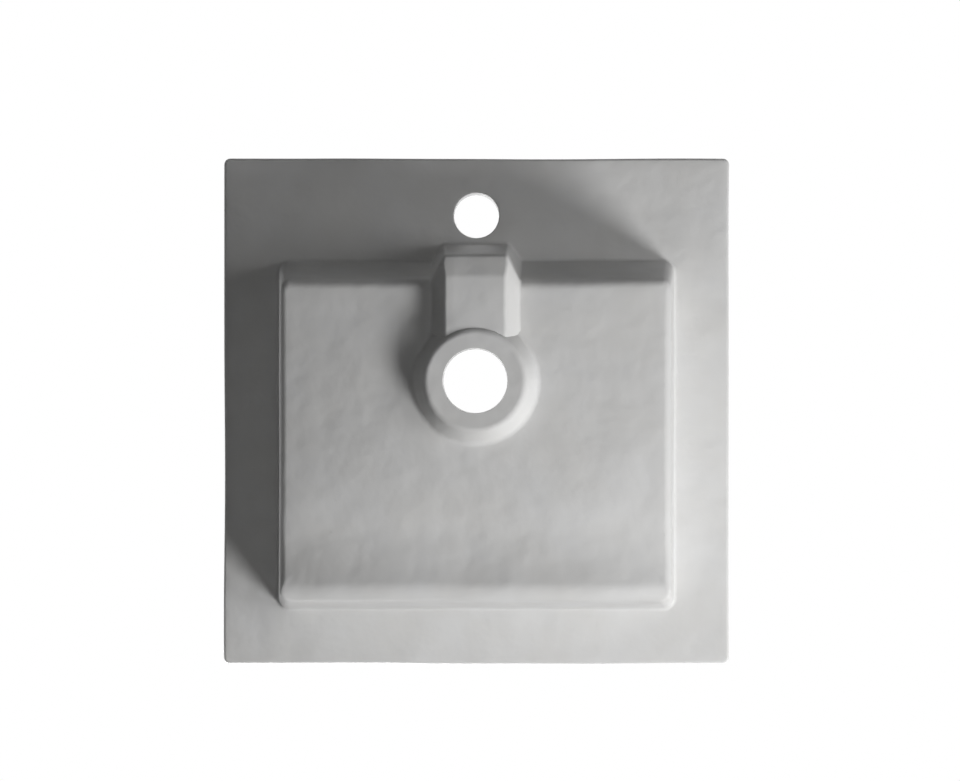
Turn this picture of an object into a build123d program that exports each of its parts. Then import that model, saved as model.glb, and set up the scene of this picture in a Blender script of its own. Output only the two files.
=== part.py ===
from build123d import *
import math
import os

# Square drop-in washbasin of fired clay, in millimetres, +Z up.
# The origin is at the middle of the plane on which the rim's underside rests on the worktop.
# +Y points to the tap deck at the back.
# Four castings, stuck together with slip before firing: rim and deck, bowl, overflow channel, waste boss.
# A drop is a depth below the rim's underside, and an inset is a distance square to a wall.

# Rim and tap deck
rim_width = 400
rim_length = 400
rim_thickness = 16
rim_corner_radius = 4
rim_top_edge_radius = 4
rim_under_edge_radius = 2
mouth_edge_radius = 5
tap_hole_radius = 18
tap_hole_to_back_edge = 45.5
tap_hole_edge_radius = 1.5

# Bowl, measured on its outside at the rim's underside and down to its flat underside
bowl_width = 312
front_ledge = 44
deck_ledge = 82
bowl_depth = 100
side_lean = 9
front_lean = 12.5
back_lean = 12.5
bowl_corner_radius = 8
bowl_under_edge_radius = 7

# Joint under the rim: the bowl and the channel stand a little way up into it, with a small cove of slip round them
joint_depth = 2
root_cove_radius = 3

# Shallow hollow across the underside between the waste boss and the foot ridge, which lies along the front edge
# and is level with the flat underside
hollow_to_waste = 48
hollow_run = 55
hollow_rise = 4.5

# Bowl inside
wall_thickness = 10
floor_thickness = 10
floor_fall = 5
inner_corner_radius = 24
floor_cove_radius = 18
cove_steps = 6

# Waste opening
waste_radius = 23
waste_to_back_wall = 95
flange_seat_radius = 33
flange_seat_depth = 3
flange_seat_flare = 2
dish_corner_radius = 30

# Waste boss under the floor
boss_height = 20
boss_foot_radius = 45
boss_face_radius = 36
boss_edge_radius = 5
boss_root_run = 3

# Overflow slot in the bowl's back wall
slot_width = 36
slot_height = 12
slot_below_rim = 22

# Overflow channel: a leg down the back wall and an arm under the floor
leg_root_width = 71
leg_root_back_width = 51
leg_end_back_width = 45
leg_proud = 13.5
leg_lean = 9.5
arm_foot_width = 63
arm_face_width = 43
arm_height = 16
arm_bevel_length = 16
arm_bevel_drop = 5
channel_edge_radius = 3
channel_wall = 6

# Fits
slip_joint = 0.3

# Places worked out from the sizes
back_edge = rim_length / 2
front_edge = -rim_length / 2
tap_hole_y = back_edge - tap_hole_to_back_edge
back_root = back_edge - deck_ledge
front_root = front_edge + front_ledge
waste_y = back_root - waste_to_back_wall
seat_drop = bowl_depth - floor_thickness
floor_drop_at_waste = seat_drop - flange_seat_depth
floor_drop_at_walls = floor_drop_at_waste - floor_fall
boss_drop = bowl_depth + boss_height
arm_drop = bowl_depth + arm_height

# How far a cutting shape runs on past what it cuts, and how near two places count as one
margin = 10
near = 0.001


def run(lean, drop):
    """How far a wall of this lean comes in over this drop."""
    return drop * math.tan(math.radians(lean))


def bowl_half_width(drop, inset=0):
    return bowl_width / 2 - run(side_lean, drop) - inset / math.cos(math.radians(side_lean))


def bowl_front(drop, inset=0):
    return front_root + run(front_lean, drop) + inset / math.cos(math.radians(front_lean))


def bowl_back(drop, inset=0):
    return back_root - run(back_lean, drop) - inset / math.cos(math.radians(back_lean))


def bowl_plan(drop, inset, corner_radius):
    """The bowl's plan at a drop, taken in by the inset."""
    front = bowl_front(drop, inset)
    back = bowl_back(drop, inset)
    with BuildSketch(Plane.XY.offset(-drop)) as plan:
        with Locations((0, (front + back) / 2)):
            RectangleRounded(2 * bowl_half_width(drop, inset), back - front, corner_radius)
    return plan.sketch


def quarter_turns():
    """The angles of the steps of a quarter turn, in radians."""
    return [math.radians(90 * step / cove_steps) for step in range(cove_steps + 1)]


def root_cove():
    """The cove at the rim, as drops with how far out the wall stands at each."""
    return [
        (root_cove_radius * (1 - math.cos(turn)), root_cove_radius * (1 - math.sin(turn)))
        for turn in quarter_turns()
    ]


def trapezoid(plane, foot_half, foot_at, face_half, face_at):
    """A symmetric trapezoid between two levels of the plane's second axis, round at its face corners."""
    with BuildSketch(plane) as shape:
        with BuildLine():
            Polyline(
                (-foot_half, foot_at),
                (foot_half, foot_at),
                (face_half, face_at),
                (-face_half, face_at),
                close=True,
            )
        make_face()
        face_corners = shape.vertices().filter_by(
            lambda corner: abs(plane.to_local_coords(corner.center()).Y - face_at) < near
        )
        fillet(face_corners, channel_edge_radius)
    return shape.sketch


# Bowl outside, as a solid block that the other castings are fitted to
hollow_start = (waste_y - hollow_to_waste, -bowl_depth)
hollow_turn = (hollow_start[0] - hollow_run, hollow_rise - bowl_depth)
ridge_end = (bowl_front(bowl_depth), -bowl_depth)
with BuildPart() as bowl_block:
    with BuildSketch(Plane.YZ):
        with BuildLine():
            Polyline(
                ridge_end,
                (bowl_front(0), 0),
                (bowl_back(0), 0),
                (bowl_back(bowl_depth), -bowl_depth),
                hollow_start,
            )
            rising = TangentArc(hollow_start, hollow_turn, tangent=(-1, 0))
            TangentArc(hollow_turn, ridge_end, tangent=rising % 1)
        make_face()
    extrude(amount=bowl_width / 2, both=True)
    with BuildSketch(Plane.XZ):
        with BuildLine():
            Polyline(
                (-bowl_half_width(0), 0),
                (bowl_half_width(0), 0),
                (bowl_half_width(bowl_depth), -bowl_depth),
                (-bowl_half_width(bowl_depth), -bowl_depth),
                close=True,
            )
        make_face()
    extrude(amount=rim_length / 2, both=True, mode=Mode.INTERSECT)
    corner_edges = bowl_block.edges().filter_by_position(Axis.Z, -0.75 * bowl_depth, -0.25 * bowl_depth)
    fillet(corner_edges, bowl_corner_radius)
    under_edges = bowl_block.faces().sort_by(Axis.Z)[0:3].edges()
    fillet(under_edges, bowl_under_edge_radius)
    with BuildSketch():
        Rectangle(rim_width, rim_length)
    extrude(amount=joint_depth)
    root_edges = bowl_block.edges().filter_by_position(Axis.Z, -near, near).filter_by(
        lambda edge: abs(edge.center().X) < rim_width / 2 - near
        and abs(edge.center().Y) < rim_length / 2 - near
    )
    fillet(root_edges, root_cove_radius)
    plate_under = bowl_block.faces().filter_by_position(Axis.Z, -near, near).sort_by(SortBy.AREA)[-1]
    extrude(to_extrude=plate_under, amount=joint_depth, dir=(0, 0, 1), mode=Mode.SUBTRACT)

# Bowl inside, cut from the rim and from the bowl alike: walls, a round cove, and a floor that falls to the waste
cove_top_drop = floor_drop_at_walls - floor_cove_radius
inside_plans = [bowl_plan(-rim_thickness - margin, wall_thickness, inner_corner_radius)]
for turn in quarter_turns():
    taken_in = floor_cove_radius * (1 - math.cos(turn))
    cove_drop = cove_top_drop + floor_cove_radius * math.sin(turn)
    inside_plans.append(bowl_plan(cove_drop, wall_thickness + taken_in, inner_corner_radius - taken_in))
with BuildSketch(Plane.XY.offset(-floor_drop_at_waste)) as dish:
    with Locations((0, waste_y)):
        RectangleRounded(2 * flange_seat_radius, 2 * flange_seat_radius, dish_corner_radius)
inside_plans.append(dish.sketch)
with BuildPart() as bowl_hollow:
    loft(inside_plans, ruled=True)


def leg_back(drop):
    """How far back the channel's leg reaches at a drop."""
    return back_root + leg_proud - run(leg_lean, drop)


def leg_plan(drop, inset):
    """The leg's plan at a drop, run on into the bowl and taken in by the inset."""
    share = drop / bowl_depth
    wall_half = ((1 - share) * leg_root_width + share * arm_foot_width) / 2
    back_half = ((1 - share) * leg_root_back_width + share * leg_end_back_width) / 2
    slope = (wall_half - back_half) / (leg_back(drop) - bowl_back(drop))
    inner_back = leg_back(drop) - inset
    inner_half = back_half + slope * inset - inset * math.hypot(1, slope)
    foot_half = inner_half + slope * (inner_back - waste_y)
    return trapezoid(Plane.XY.offset(-drop), foot_half, waste_y, inner_half, inner_back)


def arm_section(inset):
    """The arm's section across, run up past the rim and taken in by the inset."""
    slope = (arm_foot_width - arm_face_width) / 2 / arm_height
    face_half = arm_face_width / 2 + slope * inset - inset * math.hypot(1, slope)
    face = arm_drop - inset
    return trapezoid(Plane.XZ.offset(-waste_y), face_half + slope * face, 0, face_half, -face)


def channel_form(inset, top_plans):
    """The channel's outside, or with an inset the water way in it, not yet trimmed to the bowl."""
    bevel_back = leg_back(arm_drop - arm_bevel_drop)
    with BuildPart() as form:
        loft(top_plans + [leg_plan(arm_drop - inset, inset)], ruled=True)
        with BuildSketch(Plane.XZ.offset(-waste_y)):
            add(arm_section(inset))
        extrude(amount=waste_y - back_edge, mode=Mode.INTERSECT)
        with BuildSketch(Plane.YZ):
            with BuildLine():
                Polyline(
                    (bevel_back - 2 * arm_bevel_length, inset - arm_drop - arm_bevel_drop),
                    (bevel_back + arm_bevel_length, inset - arm_drop + 2 * arm_bevel_drop),
                    (bevel_back + arm_bevel_length, -boss_drop - margin),
                    (bevel_back - 2 * arm_bevel_length, -boss_drop - margin),
                    close=True,
                )
            make_face()
        extrude(amount=arm_foot_width, both=True, mode=Mode.SUBTRACT)
    return form.part


def boss_form(clearance):
    """The boss's cone without its bore, with a small cove at its foot, grown by the clearance."""
    slope = (boss_foot_radius - boss_face_radius) / boss_height
    foot = boss_foot_radius + clearance * math.hypot(1, slope)
    foot_drop = bowl_depth + boss_root_run / math.hypot(1, slope)
    foot_start = (foot + boss_root_run, -bowl_depth)
    foot_end = (foot - slope * (foot_drop - bowl_depth), -foot_drop)
    with BuildPart() as form:
        with BuildSketch(Plane.XZ.offset(-waste_y)):
            with BuildLine():
                Polyline((0, -boss_drop), (0, -bowl_depth), foot_start)
                TangentArc(foot_start, foot_end, tangent=(-1, 0))
                Polyline(foot_end, (foot - slope * boss_height, -boss_drop), (0, -boss_drop))
            make_face()
        revolve(axis=Axis((0, waste_y, 0), (0, 0, 1)))
    return form.part


# Channel outside, run on into the bowl and up into the rim, and the water way in it
with BuildPart() as channel_block:
    add(channel_form(0, [leg_plan(drop, -out) for drop, out in root_cove()]))
    with BuildSketch():
        add(leg_plan(0, -root_cove_radius))
    extrude(amount=joint_depth)
water_way = channel_form(channel_wall, [leg_plan(channel_wall, channel_wall)])

# Rim and tap deck
with BuildPart() as rim_deck:
    with BuildSketch():
        RectangleRounded(rim_width, rim_length, rim_corner_radius)
    extrude(amount=rim_thickness)
    fillet(rim_deck.faces().sort_by(Axis.Z)[-1].edges(), rim_top_edge_radius)
    fillet(rim_deck.faces().sort_by(Axis.Z)[0].edges(), rim_under_edge_radius)
    add(bowl_hollow.part, mode=Mode.SUBTRACT)
    add(bowl_block.part, mode=Mode.SUBTRACT)
    add(channel_block.part, mode=Mode.SUBTRACT)
    mouth = rim_deck.faces().sort_by(Axis.Z)[-1].inner_wires()[0]
    fillet(mouth.edges(), mouth_edge_radius)
    with Locations((0, tap_hole_y, rim_thickness)):
        Hole(tap_hole_radius)
    top_circles = rim_deck.faces().sort_by(Axis.Z)[-1].edges().filter_by(GeomType.CIRCLE)
    tap_hole_top = top_circles.filter_by(lambda edge: abs(edge.radius - tap_hole_radius) < near)
    fillet(tap_hole_top, tap_hole_edge_radius)

# Bowl
with BuildPart() as bowl:
    add(bowl_block.part)
    add(bowl_hollow.part, mode=Mode.SUBTRACT)
    with BuildSketch(Plane.XY.offset(-seat_drop)):
        with Locations((0, waste_y)):
            Circle(flange_seat_radius)
    extrude(amount=flange_seat_depth + floor_fall, taper=-flange_seat_flare, mode=Mode.SUBTRACT)
    with Locations((0, waste_y, -seat_drop)):
        Hole(waste_radius, depth=floor_thickness + margin)
    with BuildSketch(Plane((0, waste_y, -slot_below_rim), x_dir=(1, 0, 0), z_dir=(0, 1, 0))):
        SlotOverall(slot_width, slot_height)
    extrude(amount=deck_ledge + waste_to_back_wall, mode=Mode.SUBTRACT)

# Waste boss
with BuildPart() as waste_boss:
    add(boss_form(0))
    fillet(waste_boss.faces().sort_by(Axis.Z)[0].edges(), boss_edge_radius)
    with Locations((0, waste_y, -bowl_depth)):
        Hole(waste_radius)
    add(water_way, mode=Mode.SUBTRACT)

# Overflow channel
with BuildPart() as overflow_channel:
    add(channel_block.part)
    add(bowl_block.part, mode=Mode.SUBTRACT)
    add(boss_form(slip_joint), mode=Mode.SUBTRACT)
    add(water_way, mode=Mode.SUBTRACT)

rim_deck.part.label = "rim_deck"
bowl.part.label = "bowl"
waste_boss.part.label = "waste_boss"
overflow_channel.part.label = "overflow_channel"

os.makedirs("parts", exist_ok=True)
export_step(rim_deck.part, "parts/rim_deck.step")
export_step(bowl.part, "parts/bowl.step")
export_step(waste_boss.part, "parts/waste_boss.step")
export_step(overflow_channel.part, "parts/overflow_channel.step")

for piece in (rim_deck, bowl, waste_boss, overflow_channel):
    print(piece.part.label, piece.part.is_valid, len(piece.part.solids()), round(piece.part.volume))
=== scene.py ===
import math

import bmesh
import bpy
import numpy as np
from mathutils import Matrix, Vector


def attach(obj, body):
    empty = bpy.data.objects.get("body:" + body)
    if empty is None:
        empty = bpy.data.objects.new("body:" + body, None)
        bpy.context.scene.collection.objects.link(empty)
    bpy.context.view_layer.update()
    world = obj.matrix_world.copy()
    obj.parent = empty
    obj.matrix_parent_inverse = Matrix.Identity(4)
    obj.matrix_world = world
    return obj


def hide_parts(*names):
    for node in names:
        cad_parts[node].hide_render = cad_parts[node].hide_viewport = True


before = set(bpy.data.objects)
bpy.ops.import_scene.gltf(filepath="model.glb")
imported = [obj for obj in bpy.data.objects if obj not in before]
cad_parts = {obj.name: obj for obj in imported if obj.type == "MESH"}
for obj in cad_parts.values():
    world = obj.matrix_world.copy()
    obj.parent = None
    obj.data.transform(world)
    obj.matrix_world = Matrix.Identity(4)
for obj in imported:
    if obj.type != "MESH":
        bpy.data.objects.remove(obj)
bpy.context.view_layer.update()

# Sizes in millimetres, as the solids have them, apart from softer edges, a slightly taller arm
# and the rise to the sides. A drop is a depth below the rim's underside. An out is how far from
# the middle a place stands at one of the three sides, and an inset is square to a wall. The left
# and the right count as one side, because they mirror each other.
MM = 0.001
SIDES = ("side", "front", "back")

# Rim and tap deck
RIM_HALF = 200
RIM_THICKNESS = 16
RIM_CORNER = 5
RIM_LEAST_CORNER = 0.8
RIM_TOP_EDGE = 4
RIM_UNDER_EDGE = 2.5
MOUTH_EDGE = 5
TAP_HOLE_Y = 154.5
TAP_HOLE_RADIUS = 18
TAP_HOLE_TOP_EDGE = 1.5
TAP_HOLE_UNDER_EDGE = 1.0

# Bowl outside
BOWL_HALF = 156
BOWL_FRONT = -156
BOWL_BACK = 118
BOWL_DEPTH = 100
LEANS = {"side": math.radians(9), "front": math.radians(12.5), "back": math.radians(12.5)}
OUTER_CORNER = 8
UNDER_CORNER = 2.5
UNDER_EDGES = {"side": 7, "front": 12, "back": 9}
JOINT_DEPTH = 2
ROOT_COVE = 3

# Underside: a hollow between the waste boss and the front edge, and a rise towards the sides
HOLLOW_START = -25
HOLLOW_TURN = -80
HOLLOW_RISE = 4.5
LIFT_START = 36
SIDE_LIFT = 6

# Bowl inside
WALL = 10
INNER_CORNER = 24
FLOOR_COVE = 18
FLOOR_DROP_AT_WALLS = 82
FLOOR_DROP_AT_WASTE = 87

# Waste opening and the seat of its flange
WASTE_Y = 23
WASTE_RADIUS = 23
SEAT_DROP = 90
SEAT_RADIUS = 33
SEAT_FLARE = math.radians(2)
SEAT_EDGE = 1.0
SEAT_TOP_EDGE = 1.6
FLOOR_SLOPE_AT_SEAT = 0.03

# Overflow slot
SLOT_DROP = 22
SLOT_HALF = 18
SLOT_ROUND = 6
SLOT_INNER_EDGE = 2.5
SLOT_OUTER_EDGE = 1.0

# Overflow channel
LEG_ROOT_HALF = 35.5
LEG_ROOT_BACK_HALF = 25.5
LEG_END_BACK_HALF = 22.5
LEG_PROUD = 13.5
LEG_LEAN = math.radians(9.5)
ARM_FOOT_HALF = 31.5
ARM_FACE_HALF = 21.5
ARM_HEIGHT = 17.5
ARM_BEVEL_LENGTH = 16
ARM_BEVEL_DROP = 5
KNEE_EDGE = 4.5
BEVEL_EDGE = 14
FLANK_BLEND = 0.8
CHANNEL_EDGE = 3.5
CHANNEL_FOOT_COVE = 2.6
CHANNEL_FOOT_SUNK = 0.3
CHANNEL_TOP_IN_JOINT = 1.0
CHANNEL_WALL = 6
COVE_SHARE_AT_FACE = 0.8
INNER_FOOT_SHARE = 0.2

# Waste boss, which the channel's end is fitted to
BOSS_FOOT_RADIUS = 45
BOSS_FACE_RADIUS = 36
BOSS_HEIGHT = 20
BOSS_COVE_RUN = 3
BOSS_COVE_RISE = 2.74
SLIP_JOINT = 0.3

# Columns and rows of the meshes. A block is left out of the grid round each hole.
CENTRE_COLUMNS = np.arange(-36, 37, 6.0)
OUTER_COLUMNS = 10
LONG_ROWS = 26
CORNER_STEPS = 6
BLOCK_ROWS = 6
TAP_BLOCK_COLUMNS = (11, 21)
TAP_BLOCK_REACH = 28
SLOT_BLOCK_COLUMNS = (12, 20)
OUTER_WALL_LEVELS = (-6, -10, -14, -18, -22, -26, -30, -34, -43, -52, -61, -70, -79, -87)
ROWS_ABOVE_OUTER_BLOCK = 1
INNER_WALL_LEVELS = (-60, -52, -43, -34, -30, -26, -22, -18, -14, -10, -6, -2, 2)
ROWS_BELOW_INNER_BLOCK = 3
RIM_TOP_EDGE_STEPS = 6
RIM_UNDER_EDGE_STEPS = 5
GLAZED_ROWS_OF_UNDER_EDGE = 4
MOUTH_STEPS = 7
ROOT_STEPS = 4
UNDER_EDGE_STEPS = 9
UNDERSIDE_RINGS = 20
SEAT_STEPS = 4
SEAT_TOP_STEPS = 6
FLOOR_RINGS = 13
COVE_STEPS = 10
HOLE_SHARES = (0.35, 0.7, 1.0)
HOLE_EDGE_STEPS = 5
KNEE_STEPS = 6
BEVEL_STEPS = 4
CHANNEL_ROOT_STEPS = 20
CHANNEL_COVE_STEPS = 5
LEG_STEPS = 9
CHANNEL_FOOT_STEPS = 4
CHANNEL_EDGE_STEPS = 5
CHANNEL_END_STEPS = 6
CROWDED_STEP = 0.05
THIRDS = np.array([[0.33], [0.67]])

# Slight unevenness, in x, y and z: each wave's change of phase per millimetre, its phase and its
# share. It is still round the waste, and held in towards the faces of the outer box.
WAVES = (
    ((0.021, 0.013, 0.009), 0.4, 0.30),
    ((-0.012, 0.027, 0.014), 1.9, 0.25),
    ((0.034, -0.019, 0.022), 3.1, 0.18),
    ((0.047, 0.041, -0.030), 4.4, 0.12),
    ((-0.056, 0.033, 0.041), 5.2, 0.08),
)
WAVE_HEIGHTS = (0.6, 0.6, 0.35)
WAVE_TURNS = (0.0, 2.1, 4.0)
WAVE_STRETCH = 0.13
STILL_RADIUS = 52
STILL_FADE = 60
EDGE_POWER = 6

# Finishing of a mesh
MERGE_METRES = 1e-6
SLIVER_METRES = 1e-7
SHARP_ANGLE = math.radians(32)

# Finishes, as the numbers of a casting's two materials
GLAZED, BARE = 0, 1

# Camera: straight below the basin, as in the photograph. Its place is in metres, and its sensor's
# width in millimetres.
IMAGE_WIDTH = 960
FOCAL_PIXELS = 1394
SHIFT_PIXELS = -8
SENSOR_WIDTH = 36
CAMERA_PLACE = (-0.0091, 0.0162, -1.1)

# Floor, in metres: paler for the eye than for light that bounces, and with a glow for the eye that
# grows to full white between two distances from the middle
FLOOR_BELOW_RIM = 1.5
FLOOR_HALF = 30
FLOOR_ROUGHNESS = 0.9
FLOOR_PALE = 0.8
FLOOR_PALE_FOR_BOUNCES = 0.25
FLOOR_GLOW = 0.82
GLOW_FADE = (1.6, 5.0)

# World and lamps: each lamp's place in metres, its diameter and its power in watts. The key's
# angles and distance are measured from a place a little under the origin.
WORLD_STRENGTH = 0.015
KEY_AROUND = math.radians(43)
KEY_UP = math.radians(27)
KEY_AWAY = 1.5
KEY_CENTRE_HEIGHT = -0.1
KEY_PLACE = (
    -KEY_AWAY * math.cos(KEY_AROUND) * math.cos(KEY_UP),
    -KEY_AWAY * math.sin(KEY_AROUND) * math.cos(KEY_UP),
    KEY_CENTRE_HEIGHT - KEY_AWAY * math.sin(KEY_UP),
)
LAMPS = (
    ("key", KEY_PLACE, 0.6, 15.5),
    ("fill", (-1.55, 0.0, -1.1), 0.8, 7.8),
    ("top", (0.35, -0.55, 1.05), 0.8, 12.0),
    ("side", (1.25, -0.75, 0.5), 0.8, 4.5),
)
LAMP_IN_REFLECTIONS = "top"

# Fired clay: the ripples are how many to a metre and how high in metres, and the pits are how
# deep in metres
GLAZE_LOOK = dict(
    roughness=0.12, ior=1.5, base=0.84, pits=0.00003,
    ripples=((14, 0.0008), (45, 0.00012), (320, 0.000004)),
)
BARE_LOOK = dict(
    roughness=0.5, ior=1.42, base=0.82, pits=0.00012,
    ripples=((26, 0.0017), (60, 0.0006), (140, 0.00018), (800, 0.000004)),
)
THICK_TINT = (1, 1, 0.995)
THIN_TINT = (0.975, 0.970, 0.955)
CLOUDS_PER_METRE = 22
CLOUD_LEVELS = (0.35, 0.65)
SHEEN_PATCHES_PER_METRE = 55
SHEEN_LEVELS = (0.3, 0.7)
SHEEN_RANGE = (0.9, 1.12)
PITS_PER_METRE = 16
PIT_SHARE = 0.022


class Skin:
    """Gathers points in millimetres and faces between them, and makes one closed piece."""

    def __init__(self):
        self.points = []
        self.count = 0
        self.faces = []
        self.finishes = []
        self.finish = GLAZED

    def add(self, points):
        """Adds points and gives back their numbers."""
        numbers = np.arange(self.count, self.count + len(points))
        self.points.append(points)
        self.count += len(points)
        return numbers

    def places(self, numbers):
        """Where the points with these numbers are."""
        return np.concatenate(self.points)[numbers]

    def strip(self, first, second, closed, skip=()):
        """Quads between two rows, which are rings where closed, without the columns to skip."""
        total = len(first)
        for here in range(total if closed else total - 1):
            if here in skip:
                continue
            after = (here + 1) % total
            self.face((first[here], first[after], second[after], second[here]))

    def join(self, rows, blocks, bare):
        """Quads between following rings. A block leaves out some rows and columns, for a hole."""
        for row in range(len(rows) - 1):
            skip = ()
            for row_start, row_end, column_start, column_end in blocks:
                if row_start <= row < row_end:
                    skip = range(column_start, column_end)
            self.finish = BARE if row in bare else GLAZED
            self.strip(rows[row], rows[row + 1], True, skip)
        self.finish = GLAZED

    def join_through(self, glazed_rings, bare_rings):
        """The faces of a hole, from its glazed side through to its bare side."""
        chain = glazed_rings + bare_rings[::-1]
        for step, (first, second) in enumerate(zip(chain, chain[1:])):
            self.finish = BARE if step >= len(glazed_rings) else GLAZED
            self.strip(first, second, True)
        self.finish = GLAZED

    def face(self, corners):
        self.faces.append(tuple(int(corner) for corner in corners))
        self.finishes.append(self.finish)

    def piece(self, name):
        """The finished object: uneven, merged, faces outward, and smooth up to the sharp angle."""
        mesh = bpy.data.meshes.new(name)
        points = wobble(np.concatenate(self.points)) * MM
        mesh.from_pydata(points.tolist(), [], self.faces)
        mesh.polygons.foreach_set("material_index", self.finishes)
        work = bmesh.new()
        work.from_mesh(mesh)
        bmesh.ops.remove_doubles(work, verts=work.verts, dist=MERGE_METRES)
        bmesh.ops.dissolve_degenerate(work, edges=work.edges, dist=SLIVER_METRES)
        bmesh.ops.recalc_face_normals(work, faces=work.faces)
        work.to_mesh(mesh)
        work.free()
        mesh.shade_smooth()
        mesh.set_sharp_from_angle(angle=SHARP_ANGLE)
        made = bpy.data.objects.new(name, mesh)
        bpy.context.scene.collection.objects.link(made)
        return made


def ease(share):
    """The share, with a soft start and end."""
    return share * share * (3 - 2 * share)


def wobble(points):
    """The slight unevenness of fired clay, as one smooth field for all pieces.

    There is none at the waste, and it keeps inside the outer box.
    """
    from_waste = np.hypot(points[:, 0], points[:, 1] - WASTE_Y)
    share = ease(np.clip((from_waste - STILL_RADIUS) / STILL_FADE, 0, 1))
    most = sum(size for _, _, size in WAVES)
    moved = points.copy()
    for axis, turn in enumerate(WAVE_TURNS):
        shift = np.zeros(len(points))
        for direction, phase, size in WAVES:
            wave = points @ np.array(direction) * (1 + WAVE_STRETCH * axis)
            shift += size * np.sin(wave + phase + turn)
        place = points[:, axis]
        reach = RIM_THICKNESS if axis == 2 else RIM_HALF
        inward = most * np.sign(place) * np.minimum(np.abs(place) / reach, 1) ** EDGE_POWER
        if axis == 2:
            inward = np.where(place > 0, inward, 0)
        moved[:, axis] += (shift * share - inward) * WAVE_HEIGHTS[axis]
    return moved


def lerp(start, end, share):
    return start + (end - start) * share


def wall_at(side, drop, inset=0.0):
    """How far out the bowl's outer wall stands at a drop, less the inset square to it."""
    lean = LEANS[side]
    out = {"side": BOWL_HALF, "front": -BOWL_FRONT, "back": BOWL_BACK}[side]
    return out - drop * math.tan(lean) - inset / math.cos(lean)


def up_the_wall(side):
    """The direction up a wall's outline, as out and height."""
    return (math.sin(LEANS[side]), math.cos(LEANS[side]))


def down_the_wall(side):
    """The direction down it."""
    return (-math.sin(LEANS[side]), -math.cos(LEANS[side]))


def rounding(corner, first, second, radius, steps):
    """Points of the arc that rounds a corner between two straight lines leaving it."""
    first = np.array(first) / np.hypot(*first)
    second = np.array(second) / np.hypot(*second)
    half = math.acos(np.clip(first @ second, -1, 1)) / 2
    reach = radius / math.tan(half)
    corner = np.array(corner, float)
    start, end = corner + reach * first, corner + reach * second
    middle = corner + (first + second) / np.hypot(*(first + second)) * radius / math.sin(half)
    from_angle = math.atan2(*(start - middle)[::-1])
    to_angle = math.atan2(*(end - middle)[::-1])
    sweep = (to_angle - from_angle + math.pi) % (2 * math.pi) - math.pi
    turns = from_angle + sweep * np.linspace(0, 1, steps + 1)
    return middle + radius * np.stack([np.cos(turns), np.sin(turns)], axis=1)


def side_columns(half):
    """Places along the front or back, from the right corner to the left.

    They are close together and fixed in the middle.
    """
    outer = lerp(CENTRE_COLUMNS[-1], half, np.arange(1, OUTER_COLUMNS + 1) / OUTER_COLUMNS)
    return np.concatenate([outer[::-1], CENTRE_COLUMNS[::-1], -outer])


def plan_ring(half, front, back, radius):
    """A rounded rectangle's points and outward directions.

    They run anticlockwise from the back right corner's end.
    """
    quarter = np.linspace(0, math.pi / 2, CORNER_STEPS + 1)[1:-1]
    xs, ys, nx, ny = [], [], [], []

    def run(x, y, normal):
        xs.append(x)
        ys.append(y)
        nx.append(np.full(len(x), float(normal[0])))
        ny.append(np.full(len(x), float(normal[1])))

    def turn(centre, start):
        angles = start + quarter
        xs.append(centre[0] + radius * np.cos(angles))
        ys.append(centre[1] + radius * np.sin(angles))
        nx.append(np.cos(angles))
        ny.append(np.sin(angles))

    across = side_columns(half - radius)
    along = np.linspace(back - radius, front + radius, LONG_ROWS + 1)
    run(across, np.full(len(across), back), (0, 1))
    turn((-(half - radius), back - radius), math.pi / 2)
    run(np.full(len(along), -half), along, (-1, 0))
    turn((-(half - radius), front + radius), math.pi)
    run(across[::-1], np.full(len(across), front), (0, -1))
    turn((half - radius, front + radius), 1.5 * math.pi)
    run(np.full(len(along), half), along[::-1], (1, 0))
    turn((half - radius, back - radius), 0)
    return tuple(np.concatenate(part) for part in (xs, ys, nx, ny))


def hollow_runs():
    """How long the hollow is before and after its turn."""
    return HOLLOW_START - HOLLOW_TURN, HOLLOW_TURN + wall_at("front", BOWL_DEPTH)


def hollow_slopes():
    """How steeply the underside rises where the hollow turns, and falls again at the front edge.

    The front edge lies level with the flat of the underside.
    """
    first_run, last_run = hollow_runs()
    rising = 2 * HOLLOW_RISE / first_run
    return rising, rising + 2 * HOLLOW_RISE / last_run


def hollow(y):
    """How far the underside rises above its flat between the waste boss and the front edge."""
    rising, falling = hollow_slopes()
    first_run, last_run = hollow_runs()
    past = np.clip(HOLLOW_START - y, 0, first_run)
    rise = rising * past ** 2 / (2 * first_run)
    past = np.clip(HOLLOW_TURN - y, 0, last_run)
    return rise + rising * past - (rising + falling) * past ** 2 / (2 * last_run)


def side_lift(x):
    """How far the underside rises towards the sides, clear of the channel and of the boss."""
    share = (np.abs(x) - LIFT_START) / (wall_at("side", BOWL_DEPTH) - LIFT_START)
    return SIDE_LIFT * np.clip(share, 0, 1) ** 2


def side_lift_slope():
    """How steeply the underside rises where it meets the sides."""
    return 2 * SIDE_LIFT / (wall_at("side", BOWL_DEPTH) - LIFT_START)


def level_ring(outs, heights, radius, raised=0.0):
    """A ring round the bowl from how far out and how high it lies at each side.

    It is raised by this share of the underside's hollow and of its rise to the sides, along the
    leaning walls.
    """
    x, y, nx, ny = plan_ring(outs["side"], -outs["front"], outs["back"], radius)
    side_share = nx ** 2
    front_share = np.where(ny < 0, ny ** 2, 0)
    back_share = np.where(ny > 0, ny ** 2, 0)
    up = raised * hollow(y)
    lift = raised * side_lift(x)
    x = x + np.sign(x) * side_share * up * math.tan(LEANS["side"])
    y = y + lift * (back_share * math.tan(LEANS["back"]) - front_share * math.tan(LEANS["front"]))
    side_z = side_share * (heights["side"] + up)
    front_z = front_share * (heights["front"] + lift)
    back_z = back_share * (heights["back"] + lift)
    return np.stack([x, y, side_z + front_z + back_z], axis=1)


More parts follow.
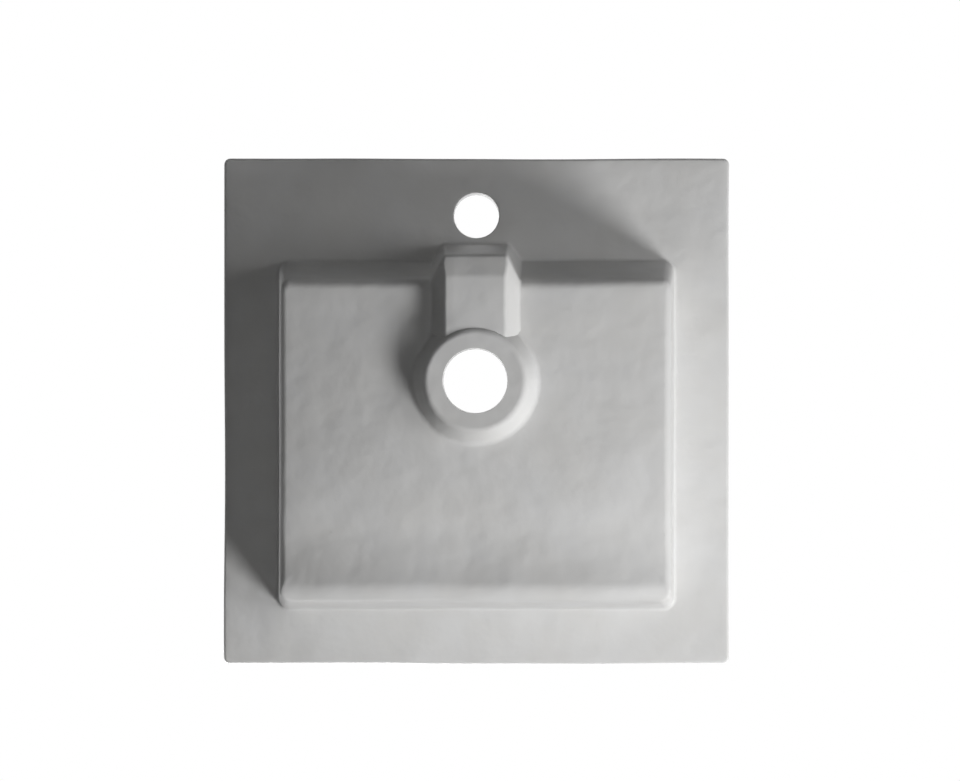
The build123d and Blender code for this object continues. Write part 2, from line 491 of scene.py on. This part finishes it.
def block_edge(rows, block):
    """The numbers round a block left out of a grid of rows, in order."""
    row_start, row_end, column_start, column_end = block
    edge = [rows[row_start][column] for column in range(column_start, column_end)]
    edge += [rows[row][column_end] for row in range(row_start, row_end)]
    edge += [rows[row_end][column] for column in range(column_end, column_start, -1)]
    edge += [rows[row][column_start] for row in range(row_end, row_start, -1)]
    return edge


def turned_block_edge(rows, block):
    """The same with the rows from last to first, so that it runs as on the other face."""
    row_start, row_end, column_start, column_end = block
    last = len(rows) - 1
    return block_edge(rows[::-1], (last - row_end, last - row_start, column_start, column_end))


def round_the_core(points, core, radius):
    """The points, moved to this distance from a core line that lies across their middle."""
    near = np.zeros_like(points)
    near[:, 0] = np.clip(points[:, 0], -core, core)
    away = points - near
    return near + radius * away / np.hypot(away[:, 0], away[:, 1])[:, None]


def level_points(flat, height):
    """Flat points, set at one height."""
    return np.column_stack([flat, np.full(len(flat), float(height))])


def hole_rings(skin, edge, flat_points, core, radius, edge_radius, place):
    """Rings from a block's edge in to a hole, then round its edge.

    The points are flat: across, and up or back.
    """
    rings = [edge]
    brim = round_the_core(flat_points, core, radius + edge_radius)
    for share in HOLE_SHARES:
        rings.append(skin.add(place(lerp(flat_points, brim, share), 0.0)))
    for turn in np.linspace(0, math.pi / 2, HOLE_EDGE_STEPS + 1)[1:]:
        ring = round_the_core(flat_points, core, radius + edge_radius * (1 - math.sin(turn)))
        rings.append(skin.add(place(ring, edge_radius * (1 - math.cos(turn)))))
    return rings


def same(value):
    """The same value at all three sides."""
    return dict.fromkeys(SIDES, float(value))


def profiles_at_root():
    """The cove between the rim and the bowl's walls, at each side."""
    return {
        side: rounding((wall_at(side, 0), 0), (1, 0), down_the_wall(side), ROOT_COVE, ROOT_STEPS)
        for side in SIDES
    }


def step_of(profiles, step):
    """The outs and the heights that the three sides' profiles have at one step."""
    return (
        {side: profiles[side][step][0] for side in SIDES},
        {side: profiles[side][step][1] for side in SIDES},
    )


def between(first, second, share):
    """The outs and the heights at a share of the way from the first pair to the second."""
    return tuple(
        {side: lerp(start[side], end[side], share) for side in SIDES}
        for start, end in zip(first, second)
    )


def joint_lip():
    """The outs and the heights where the rim and the bowl meet on the inside wall."""
    return {side: wall_at(side, -JOINT_DEPTH, WALL) for side in SIDES}, same(JOINT_DEPTH)


def make_rim():
    skin = Skin()
    rows = []

    def ring(outs, heights, radius):
        rows.append(skin.add(level_ring(outs, heights, radius)))

    def square(inset, height):
        ring(same(RIM_HALF - inset), same(height), max(RIM_CORNER - inset, RIM_LEAST_CORNER))

    # Top: outer edge, flat, mouth, inside wall down to the joint
    top_arc = rounding((0, RIM_THICKNESS), (0, -1), (-1, 0), RIM_TOP_EDGE, RIM_TOP_EDGE_STEPS)
    for out, height in top_arc:
        square(-out, height)
    outer = (same(RIM_HALF - RIM_TOP_EDGE), same(RIM_THICKNESS))
    mouth = {
        side: rounding(
            (wall_at(side, -RIM_THICKNESS, WALL), RIM_THICKNESS), (1, 0), down_the_wall(side),
            MOUTH_EDGE, MOUTH_STEPS,
        )
        for side in SIDES
    }
    inner = step_of(mouth, 0)
    block_ys = np.linspace(
        TAP_HOLE_Y + TAP_BLOCK_REACH, TAP_HOLE_Y - TAP_BLOCK_REACH, BLOCK_ROWS + 1
    )
    shares = [(outer[0]["back"] - y) / (outer[0]["back"] - inner[0]["back"]) for y in block_ys]
    top_start = len(rows) + 1
    top_block = (top_start, top_start + BLOCK_ROWS, *TAP_BLOCK_COLUMNS)
    for share in [shares[0] / 2] + shares:
        radius = lerp(RIM_CORNER - RIM_TOP_EDGE, INNER_CORNER + MOUTH_EDGE, share)
        ring(*between(outer, inner, share), radius)
    for step in range(MOUTH_STEPS + 1):
        ring(*step_of(mouth, step), INNER_CORNER + MOUTH_EDGE * (1 - step / MOUTH_STEPS))
    for share in (0.5, 1.0):
        ring(*between(step_of(mouth, MOUTH_STEPS), joint_lip(), share), INNER_CORNER)

    # Underside: joint, flat, outer edge
    root = step_of(profiles_at_root(), 0)
    ring(root[0], same(JOINT_DEPTH), OUTER_CORNER + ROOT_COVE)
    ring(root[0], same(0), OUTER_CORNER + ROOT_COVE)
    under = (same(RIM_HALF - RIM_UNDER_EDGE), same(0))
    under_reach = under[0]["back"] - root[0]["back"]
    under_shares = [(y - root[0]["back"]) / under_reach for y in block_ys[::-1]]
    under_start = len(rows)
    under_block = (under_start, under_start + BLOCK_ROWS, *TAP_BLOCK_COLUMNS)
    for share in under_shares + [(1 + under_shares[-1]) / 2]:
        radius = lerp(OUTER_CORNER + ROOT_COVE, RIM_CORNER - RIM_UNDER_EDGE, share)
        ring(*between(root, under, share), radius)
    for out, height in rounding((0, 0), (-1, 0), (0, 1), RIM_UNDER_EDGE, RIM_UNDER_EDGE_STEPS):
        square(-out, height)
    bare = range(under_start - 2, len(rows) - GLAZED_ROWS_OF_UNDER_EDGE)
    rows.append(rows[0])
    skin.join(rows, (top_block, under_block), bare)

    # The tap hole joins the two blocks left out above and below
    top_edge = block_edge(rows, top_block)
    under_edge = turned_block_edge(rows, under_block)
    flat_top = skin.places(top_edge)[:, :2] - (0, TAP_HOLE_Y)
    flat_under = skin.places(under_edge)[:, :2] - (0, TAP_HOLE_Y)

    def on_top(flat, depth):
        return level_points(flat + (0, TAP_HOLE_Y), RIM_THICKNESS - depth)

    def on_under(flat, depth):
        return level_points(flat + (0, TAP_HOLE_Y), depth)

    skin.join_through(
        hole_rings(skin, top_edge, flat_top, 0, TAP_HOLE_RADIUS, TAP_HOLE_TOP_EDGE, on_top),
        hole_rings(skin, under_edge, flat_under, 0, TAP_HOLE_RADIUS, TAP_HOLE_UNDER_EDGE, on_under),
    )
    return skin.piece("rim_casting")


def under_edge_profiles():
    """The rounded edge from the bowl's walls to its underside, at each side."""
    tilts = {
        "side": -math.atan(side_lift_slope()),
        "front": math.atan(hollow_slopes()[1]),
        "back": 0.0,
    }
    under = {}
    for side in SIDES:
        drop = BOWL_DEPTH - (SIDE_LIFT if side == "side" else 0)
        inward = (-math.cos(tilts[side]), math.sin(tilts[side]))
        under[side] = rounding(
            (wall_at(side, drop), -drop), up_the_wall(side), inward,
            UNDER_EDGES[side], UNDER_EDGE_STEPS,
        )
    front_end = under["front"][-1]
    off = -BOWL_DEPTH + hollow(-front_end[0]) - front_end[1]
    under["front"][:, 1] += off * np.linspace(0, 1, UNDER_EDGE_STEPS + 1) ** 2
    return under


def make_bowl():
    skin = Skin()
    rows = []

    def ring(outs, heights, radius, raised=0.0):
        rows.append(skin.add(level_ring(outs, heights, radius, raised)))

    def wall_rings(start, end, levels, radius, raised):
        for level in levels:
            share = (level - start[1]["back"]) / (end[1]["back"] - start[1]["back"])
            ring(*between(start, end, share), radius, share if raised else 0.0)

    # Outside: joint, cove, wall, edge of the underside
    root = profiles_at_root()
    ring(step_of(root, 0)[0], same(JOINT_DEPTH), OUTER_CORNER + ROOT_COVE)
    for step in range(ROOT_STEPS + 1):
        ring(*step_of(root, step), OUTER_CORNER + ROOT_COVE * (1 - step / ROOT_STEPS))
    under = under_edge_profiles()
    outer_start = len(rows) + ROWS_ABOVE_OUTER_BLOCK
    outer_block = (outer_start, outer_start + BLOCK_ROWS, *SLOT_BLOCK_COLUMNS)
    start, end = step_of(root, ROOT_STEPS), step_of(under, 0)
    wall_rings(start, end, OUTER_WALL_LEVELS, OUTER_CORNER, raised=True)
    for step in range(UNDER_EDGE_STEPS + 1):
        radius = lerp(OUTER_CORNER, UNDER_CORNER, step / UNDER_EDGE_STEPS)
        ring(*step_of(under, step), radius, raised=1.0)

    # Underside, in to the waste opening
    edge = skin.places(rows[-1])
    angles = np.arctan2(edge[:, 1] - WASTE_Y, edge[:, 0])
    circle = np.stack([np.cos(angles), np.sin(angles)], axis=1)
    centre = np.array([0, WASTE_Y])
    for share in np.linspace(1, 0, UNDERSIDE_RINGS + 1)[1:]:
        flat = lerp(centre + WASTE_RADIUS * circle, edge[:, :2], share)
        lifted = -BOWL_DEPTH + hollow(flat[:, 1]) + side_lift(flat[:, 0])
        rows.append(skin.add(np.column_stack([flat, lifted])))
    bare_end = len(rows) - 1

    # Waste opening and the seat of its flange
    flare = (math.sin(SEAT_FLARE), math.cos(SEAT_FLARE))
    top_radius = SEAT_RADIUS + (SEAT_DROP - FLOOR_DROP_AT_WASTE) * math.tan(SEAT_FLARE)
    down_the_seat = (-flare[0], -flare[1])
    along_the_floor = (1, FLOOR_SLOPE_AT_SEAT)
    for radius, height in np.concatenate([
        rounding((WASTE_RADIUS, -SEAT_DROP), (0, -1), (1, 0), SEAT_EDGE, SEAT_STEPS),
        rounding((SEAT_RADIUS, -SEAT_DROP), (-1, 0), flare, SEAT_EDGE, SEAT_STEPS),
        rounding(
            (top_radius, -FLOOR_DROP_AT_WASTE), down_the_seat, along_the_floor,
            SEAT_TOP_EDGE, SEAT_TOP_STEPS,
        ),
    ]):
        rows.append(skin.add(level_points(centre + radius * circle, height)))
    seat_edge = skin.places(rows[-1])

    # Inside: floor, cove, wall
    cove = {
        side: rounding(
            (wall_at(side, FLOOR_DROP_AT_WALLS, WALL), -FLOOR_DROP_AT_WALLS), (-1, 0),
            up_the_wall(side), FLOOR_COVE, COVE_STEPS,
        )
        for side in SIDES
    }
    radii = []
    for step in range(COVE_STEPS + 1):
        outs, heights = step_of(cove, step)
        radii.append(INNER_CORNER - (wall_at("side", -heights["side"], WALL) - outs["side"]))
    floor_edge = level_ring(*step_of(cove, 0), radii[0])
    for share in np.linspace(0, 1, FLOOR_RINGS + 2)[1:-1]:
        flat = lerp(seat_edge[:, :2], floor_edge[:, :2], share)
        height = lerp(seat_edge[:, 2], floor_edge[:, 2], (share + ease(share)) / 2)
        rows.append(skin.add(np.column_stack([flat, height])))
    for step in range(COVE_STEPS + 1):
        ring(*step_of(cove, step), radii[step])
    inner_start = len(rows) + ROWS_BELOW_INNER_BLOCK
    inner_block = (inner_start, inner_start + BLOCK_ROWS, *SLOT_BLOCK_COLUMNS)
    start = step_of(cove, COVE_STEPS)
    wall_rings(start, joint_lip(), INNER_WALL_LEVELS, INNER_CORNER, raised=False)
    rows.append(rows[0])
    skin.join(rows, (outer_block, inner_block), range(bare_end))

    # The overflow slot joins the two blocks left out of the back wall
    outer_edge = block_edge(rows, outer_block)
    inner_edge = turned_block_edge(rows, inner_block)
    flat_outer = skin.places(outer_edge)[:, [0, 2]] + (0, SLOT_DROP)
    flat_inner = skin.places(inner_edge)[:, [0, 2]] + (0, SLOT_DROP)

    def on_inner(flat, depth):
        z = flat[:, 1] - SLOT_DROP
        return np.column_stack([flat[:, 0], wall_at("back", -z, WALL) + depth, z])

    def on_outer(flat, depth):
        z = flat[:, 1] - SLOT_DROP
        return np.column_stack([flat[:, 0], wall_at("back", -z) - depth, z])

    core = SLOT_HALF - SLOT_ROUND
    skin.join_through(
        hole_rings(skin, inner_edge, flat_inner, core, SLOT_ROUND, SLOT_INNER_EDGE, on_inner),
        hole_rings(skin, outer_edge, flat_outer, core, SLOT_ROUND, SLOT_OUTER_EDGE, on_outer),
    )
    return skin.piece("bowl_casting")


def soft_least(first, second):
    """The smaller of two widths, rounded where they cross."""
    return first - FLANK_BLEND * np.logaddexp(0, (first - second) / FLANK_BLEND)


def leg_back(drop):
    """How far back the channel's leg reaches at a drop."""
    return BOWL_BACK + LEG_PROUD - drop * math.tan(LEG_LEAN)


def channel_half(y, z):
    """Half the channel's width at a place: the leg's flank or the arm's, whichever is nearer."""
    drop = -z
    share = np.clip(drop / BOWL_DEPTH, 0, 1 + ARM_HEIGHT / BOWL_DEPTH)
    wall_half = lerp(LEG_ROOT_HALF, ARM_FOOT_HALF, share)
    back_half = lerp(LEG_ROOT_BACK_HALF, LEG_END_BACK_HALF, share)
    wall = wall_at("back", drop)
    leg = wall_half - (wall_half - back_half) * (y - wall) / (leg_back(drop) - wall)
    arm = ARM_FOOT_HALF - (ARM_FOOT_HALF - ARM_FACE_HALF) / ARM_HEIGHT * (drop - BOWL_DEPTH)
    return soft_least(leg, arm)


def leg_station(drop, flare=0.0):
    """The leg's section at a drop, given as in channel_stations."""
    return (wall_at("back", drop), -drop), (leg_back(drop) + flare, -drop), flare


def channel_stations():
    """Where each section across the channel stands on the bowl, and how far out it reaches.

    Both are given as y and z. The third value is how far the cove under the rim spreads there.
    """
    face = -BOWL_DEPTH - ARM_HEIGHT
    corner = (wall_at("back", BOWL_DEPTH), -BOWL_DEPTH)
    corner_root = rounding(
        corner, up_the_wall("back"), (-1, 0), UNDER_EDGES["back"], CHANNEL_ROOT_STEPS
    )
    knee_drop = BOWL_DEPTH + ARM_HEIGHT - ARM_BEVEL_DROP
    knee_y = leg_back(knee_drop)
    up_the_leg = (math.sin(LEG_LEAN), math.cos(LEG_LEAN))
    down_the_bevel = (-ARM_BEVEL_LENGTH, -ARM_BEVEL_DROP)
    up_the_bevel = (ARM_BEVEL_LENGTH, ARM_BEVEL_DROP)
    knee_arc = rounding((knee_y, -knee_drop), up_the_leg, down_the_bevel, KNEE_EDGE, KNEE_STEPS)
    bevel_corner = (knee_y - ARM_BEVEL_LENGTH, face)
    bevel_arc = rounding(bevel_corner, up_the_bevel, (-1, 0), BEVEL_EDGE, BEVEL_STEPS)
    just_under = BOWL_DEPTH + 1
    outs = np.concatenate([
        [[leg_back(-corner_root[0][1]), corner_root[0][1]], [leg_back(just_under), -just_under]],
        knee_arc,
        lerp(knee_arc[-1], bevel_arc[0], THIRDS),
        bevel_arc,
        [[corner_root[-1][0], face]],
    ])

    # Round the bowl's lower back edge the sections fan out, evenly by their angle at its corner
    from_corner = outs - corner
    angles = np.arctan2(-from_corner[:, 1], from_corner[:, 0])
    steps = (angles - angles[0]) / (angles[-1] - angles[0]) * CHANNEL_ROOT_STEPS
    all_steps = np.arange(CHANNEL_ROOT_STEPS + 1)
    roots = np.stack([np.interp(steps, all_steps, corner_root[:, axis]) for axis in (0, 1)], axis=1)

    top_root = (wall_at("back", 0), CHANNEL_TOP_IN_JOINT)
    top_out = (leg_back(0) + ROOT_COVE, CHANNEL_TOP_IN_JOINT)
    stations = [(top_root, top_out, ROOT_COVE)]
    for turn in np.linspace(0, math.pi / 2, CHANNEL_COVE_STEPS + 1):
        flare = ROOT_COVE * (1 - math.sin(turn))
        stations.append(leg_station(ROOT_COVE * (1 - math.cos(turn)), flare))
    for drop in np.linspace(ROOT_COVE, -corner_root[0][1], LEG_STEPS + 1)[1:-1]:
        stations.append(leg_station(drop))
    return stations + [(root, out, 0.0) for root, out in zip(roots, outs)]


def channel_profile(root, out, flare, inset):
    """One section's points, from one side round to the other: across, and out from the bowl."""
    length = np.hypot(*(out - root))
    foot = float(channel_half(*root)) + flare
    face = float(channel_half(*out)) + flare * COVE_SHARE_AT_FACE
    if inset:
        slope = (foot - face) / length
        foot = foot - inset * math.hypot(1, slope)
        face = face + slope * inset - inset * math.hypot(1, slope)
        length = length - inset
        foot_start = np.array([foot, 0.0])
        foot_end = foot_start + INNER_FOOT_SHARE * np.array([face - foot, length])
        cove = lerp(foot_start, foot_end, np.linspace(0, 1, CHANNEL_FOOT_STEPS + 1)[:, None])
    else:
        out_along = (face - foot, length)
        cove = rounding((foot, 0), (1, 0), out_along, CHANNEL_FOOT_COVE, CHANNEL_FOOT_STEPS)
    back_along = (foot - face, -length)
    edge = rounding((face, length), back_along, (-1, 0), CHANNEL_EDGE, CHANNEL_EDGE_STEPS)
    flank = lerp(cove[-1], edge[0], THIRDS)
    across = lerp(edge[-1], np.array([0.0, length]), THIRDS)
    half = np.concatenate([cove, flank, edge, across])
    half[0, 1] = -CHANNEL_FOOT_SUNK
    return np.concatenate([half, [[0.0, length]], half[::-1] * (-1, 1)])


def on_boss(x, z):
    """How far back the boss's cone and the slip joint reach at places of the channel's end."""
    depth = np.clip(-BOWL_DEPTH - z, 0, None)
    slope = (BOSS_FOOT_RADIUS - BOSS_FACE_RADIUS) / BOSS_HEIGHT
    cove = BOSS_COVE_RUN * np.clip(1 - depth / BOSS_COVE_RISE, 0, 1) ** 2
    radius = BOSS_FOOT_RADIUS - slope * depth + SLIP_JOINT * math.hypot(1, slope) + cove
    return WASTE_Y + np.sqrt(np.clip(radius ** 2 - x ** 2, 0, None))


def make_channel():
    skin = Skin()
    skin.finish = BARE
    sheets = []
    for inset in (0.0, CHANNEL_WALL):
        rows = []
        for root, out, flare in channel_stations():
            # Inside, the sections that would stand in the top wall crowd together just under it
            if inset and -root[1] < CHANNEL_WALL:
                root, out, flare = leg_station(CHANNEL_WALL + CROWDED_STEP * len(rows))
            root, out = np.array(root), np.array(out)
            profile = channel_profile(root, out, flare, inset)
            direction = (out - root) / np.hypot(*(out - root))
            across, away = profile[:, 0], profile[:, 1]
            section = np.column_stack([
                across, root[0] + direction[0] * away, root[1] + direction[1] * away
            ])
            rows.append(skin.add(section))
        boss = on_boss(section[:, 0], section[:, 2])
        for share in np.linspace(0, 1, CHANNEL_END_STEPS + 1)[1:]:
            moved = section.copy()
            moved[:, 1] = lerp(section[:, 1], boss, share)
            rows.append(skin.add(moved))
        for first, second in zip(rows, rows[1:]):
            skin.strip(first, second, False)
        sheets.append(rows)

    # The sheets join at the boss, at the top and along both feet
    outer, inner = sheets
    skin.strip(outer[-1], inner[-1], False)
    skin.face(outer[0])
    skin.face(inner[0])
    skin.face((outer[0][0], outer[0][-1], inner[0][-1], inner[0][0]))
    for column in (0, -1):
        skin.strip([row[column] for row in outer], [row[column] for row in inner], False)
    return skin.piece("channel_casting")


def make_camera():
    data = bpy.data.cameras.new("photo_camera")
    data.sensor_width = SENSOR_WIDTH
    data.lens = FOCAL_PIXELS / IMAGE_WIDTH * SENSOR_WIDTH
    data.shift_x = SHIFT_PIXELS / IMAGE_WIDTH
    camera = bpy.data.objects.new("photo_camera", data)
    camera.location = CAMERA_PLACE
    camera.rotation_euler = (0, math.pi, 0)
    bpy.context.scene.collection.objects.link(camera)
    bpy.context.scene.camera = camera


def for_the_eye(nodes, links, others):
    """A node whose result is 1 for rays from the camera, from mirrors and from glass.

    For the others it is the given value.
    """
    path = nodes.new("ShaderNodeLightPath")
    seen = path.outputs["Is Camera Ray"]
    for ray in ("Is Glossy Ray", "Is Transmission Ray"):
        either = nodes.new("ShaderNodeMath")
        either.operation = "MAXIMUM"
        links.new(seen, either.inputs[0])
        links.new(path.outputs[ray], either.inputs[1])
        seen = either.outputs[0]
    value = nodes.new("ShaderNodeMapRange")
    value.inputs["To Min"].default_value = others
    links.new(seen, value.inputs["Value"])
    return value


def map_range(nodes, links, source, low, high, to_low, to_high):
    """The source's values from low to high, mapped to the other two."""
    made = nodes.new("ShaderNodeMapRange")
    limits = {"From Min": low, "From Max": high, "To Min": to_low, "To Max": to_high}
    for socket, value in limits.items():
        made.inputs[socket].default_value = value
    links.new(source, made.inputs["Value"])
    return made.outputs["Result"]


def make_floor():
    """A pale floor well below the basin.

    It fades into the white behind it and keeps the basin's shadow.
    """
    corners = [(across * FLOOR_HALF, along * FLOOR_HALF, -FLOOR_BELOW_RIM)
               for across, along in ((-1, -1), (1, -1), (1, 1), (-1, 1))]
    mesh = bpy.data.meshes.new("floor")
    mesh.from_pydata(corners, [], [(0, 1, 2, 3)])
    floor = bpy.data.objects.new("floor", mesh)
    bpy.context.scene.collection.objects.link(floor)
    material = bpy.data.materials.new("floor_paint")
    material.use_nodes = True
    nodes, links = material.node_tree.nodes, material.node_tree.links
    shader = nodes["Principled BSDF"]
    shader.inputs["Roughness"].default_value = FLOOR_ROUGHNESS
    shader.inputs["Specular IOR Level"].default_value = 0.0
    shader.inputs["Emission Color"].default_value = (1, 1, 1, 1)
    place = nodes.new("ShaderNodeTexCoord")
    away = nodes.new("ShaderNodeVectorMath")
    away.operation = "LENGTH"
    links.new(place.outputs["Object"], away.inputs[0])
    fade = map_range(nodes, links, away.outputs["Value"], *GLOW_FADE, FLOOR_GLOW, 1.0)
    paint = for_the_eye(nodes, links, FLOOR_PALE_FOR_BOUNCES)
    paint.inputs["To Max"].default_value = FLOOR_PALE
    links.new(paint.outputs["Result"], shader.inputs["Base Color"])
    glow = for_the_eye(nodes, links, 0.0)
    links.new(fade, glow.inputs["To Max"])
    links.new(glow.outputs["Result"], shader.inputs["Emission Strength"])
    mesh.materials.append(material)


def make_world():
    world = bpy.data.worlds.new("studio")
    world.use_nodes = True
    bpy.context.scene.world = world
    nodes, links = world.node_tree.nodes, world.node_tree.links
    back = nodes["Background"]
    back.inputs["Color"].default_value = (1, 1, 1, 1)
    strength = for_the_eye(nodes, links, WORLD_STRENGTH)
    links.new(strength.outputs["Result"], back.inputs["Strength"])


def make_lamps():
    for name, place, size, power in LAMPS:
        data = bpy.data.lights.new(name, "AREA")
        data.shape = "DISK"
        data.size = size
        data.energy = power
        lamp = bpy.data.objects.new(name, data)
        lamp.location = place
        lamp.visible_glossy = name == LAMP_IN_REFLECTIONS
        lamp.rotation_euler = (-Vector(place)).to_track_quat("-Z", "Y").to_euler()
        bpy.context.scene.collection.objects.link(lamp)


def make_ceramic(name, roughness, ior, base, ripples, pits):
    """Fired clay in object space, so that its unevenness runs on from one casting to the next."""
    material = bpy.data.materials.new(name)
    material.use_nodes = True
    nodes, links = material.node_tree.nodes, material.node_tree.links
    shader = nodes["Principled BSDF"]
    shader.inputs["IOR"].default_value = ior
    place = nodes.new("ShaderNodeTexCoord")

    def noise(scale, detail):
        made = nodes.new("ShaderNodeTexNoise")
        made.inputs["Scale"].default_value = scale
        made.inputs["Detail"].default_value = detail
        links.new(place.outputs["Object"], made.inputs["Vector"])
        return made.outputs["Fac"]

    def total(first, second):
        made = nodes.new("ShaderNodeMath")
        made.operation = "ADD"
        links.new(first, made.inputs[0])
        links.new(second, made.inputs[1])
        return made.outputs[0]

    # Colour: faint cloudiness, a touch warmer where the surface layer is thin
    colour = nodes.new("ShaderNodeMix")
    colour.data_type = "RGBA"
    colour.inputs["A"].default_value = (*(base * part for part in THIN_TINT), 1)
    colour.inputs["B"].default_value = (*(base * part for part in THICK_TINT), 1)
    clouds = map_range(nodes, links, noise(CLOUDS_PER_METRE, 3), *CLOUD_LEVELS, 0, 1)
    links.new(clouds, colour.inputs["Factor"])
    links.new(colour.outputs["Result"], shader.inputs["Base Color"])

    # Sheen: patches that are a little smoother or rougher
    smooth, rough = (roughness * part for part in SHEEN_RANGE)
    patches = noise(SHEEN_PATCHES_PER_METRE, 2)
    sheen = map_range(nodes, links, patches, *SHEEN_LEVELS, smooth, rough)
    links.new(sheen, shader.inputs["Roughness"])

    # Height: ripples of several lengths, and here and there a pinhole
    heights = [map_range(nodes, links, noise(per_metre, 1), 0, 1, 0, high)
               for per_metre, high in ripples]
    cells = nodes.new("ShaderNodeTexVoronoi")
    cells.inputs["Scale"].default_value = PITS_PER_METRE
    links.new(place.outputs["Object"], cells.inputs["Vector"])
    heights.append(map_range(nodes, links, cells.outputs["Distance"], 0.0, PIT_SHARE, -pits, 0))
    height = heights[0]
    for more in heights[1:]:
        height = total(height, more)
    bump = nodes.new("ShaderNodeBump")
    bump.inputs["Distance"].default_value = 1.0
    links.new(height, bump.inputs["Height"])
    links.new(bump.outputs["Normal"], shader.inputs["Normal"])
    return material


make_camera()
make_floor()
make_world()
make_lamps()
bpy.context.scene.view_settings.view_transform = "Standard"

glaze = make_ceramic("glaze", **GLAZE_LOOK)
bare_clay = make_ceramic("bare_clay", **BARE_LOOK)
for build, node, slot in (
    (make_rim, "rim_deck", "rim_glaze"),
    (make_bowl, "bowl", "bowl_glaze"),
    (make_channel, "overflow_channel", "channel_glaze"),
):
    casting = build()
    casting.data.materials.append(glaze)
    casting.data.materials.append(bare_clay)
    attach(casting, "root")
    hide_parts(node)
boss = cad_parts["waste_boss"]
boss.data.materials.clear()
boss.data.materials.append(bare_clay)
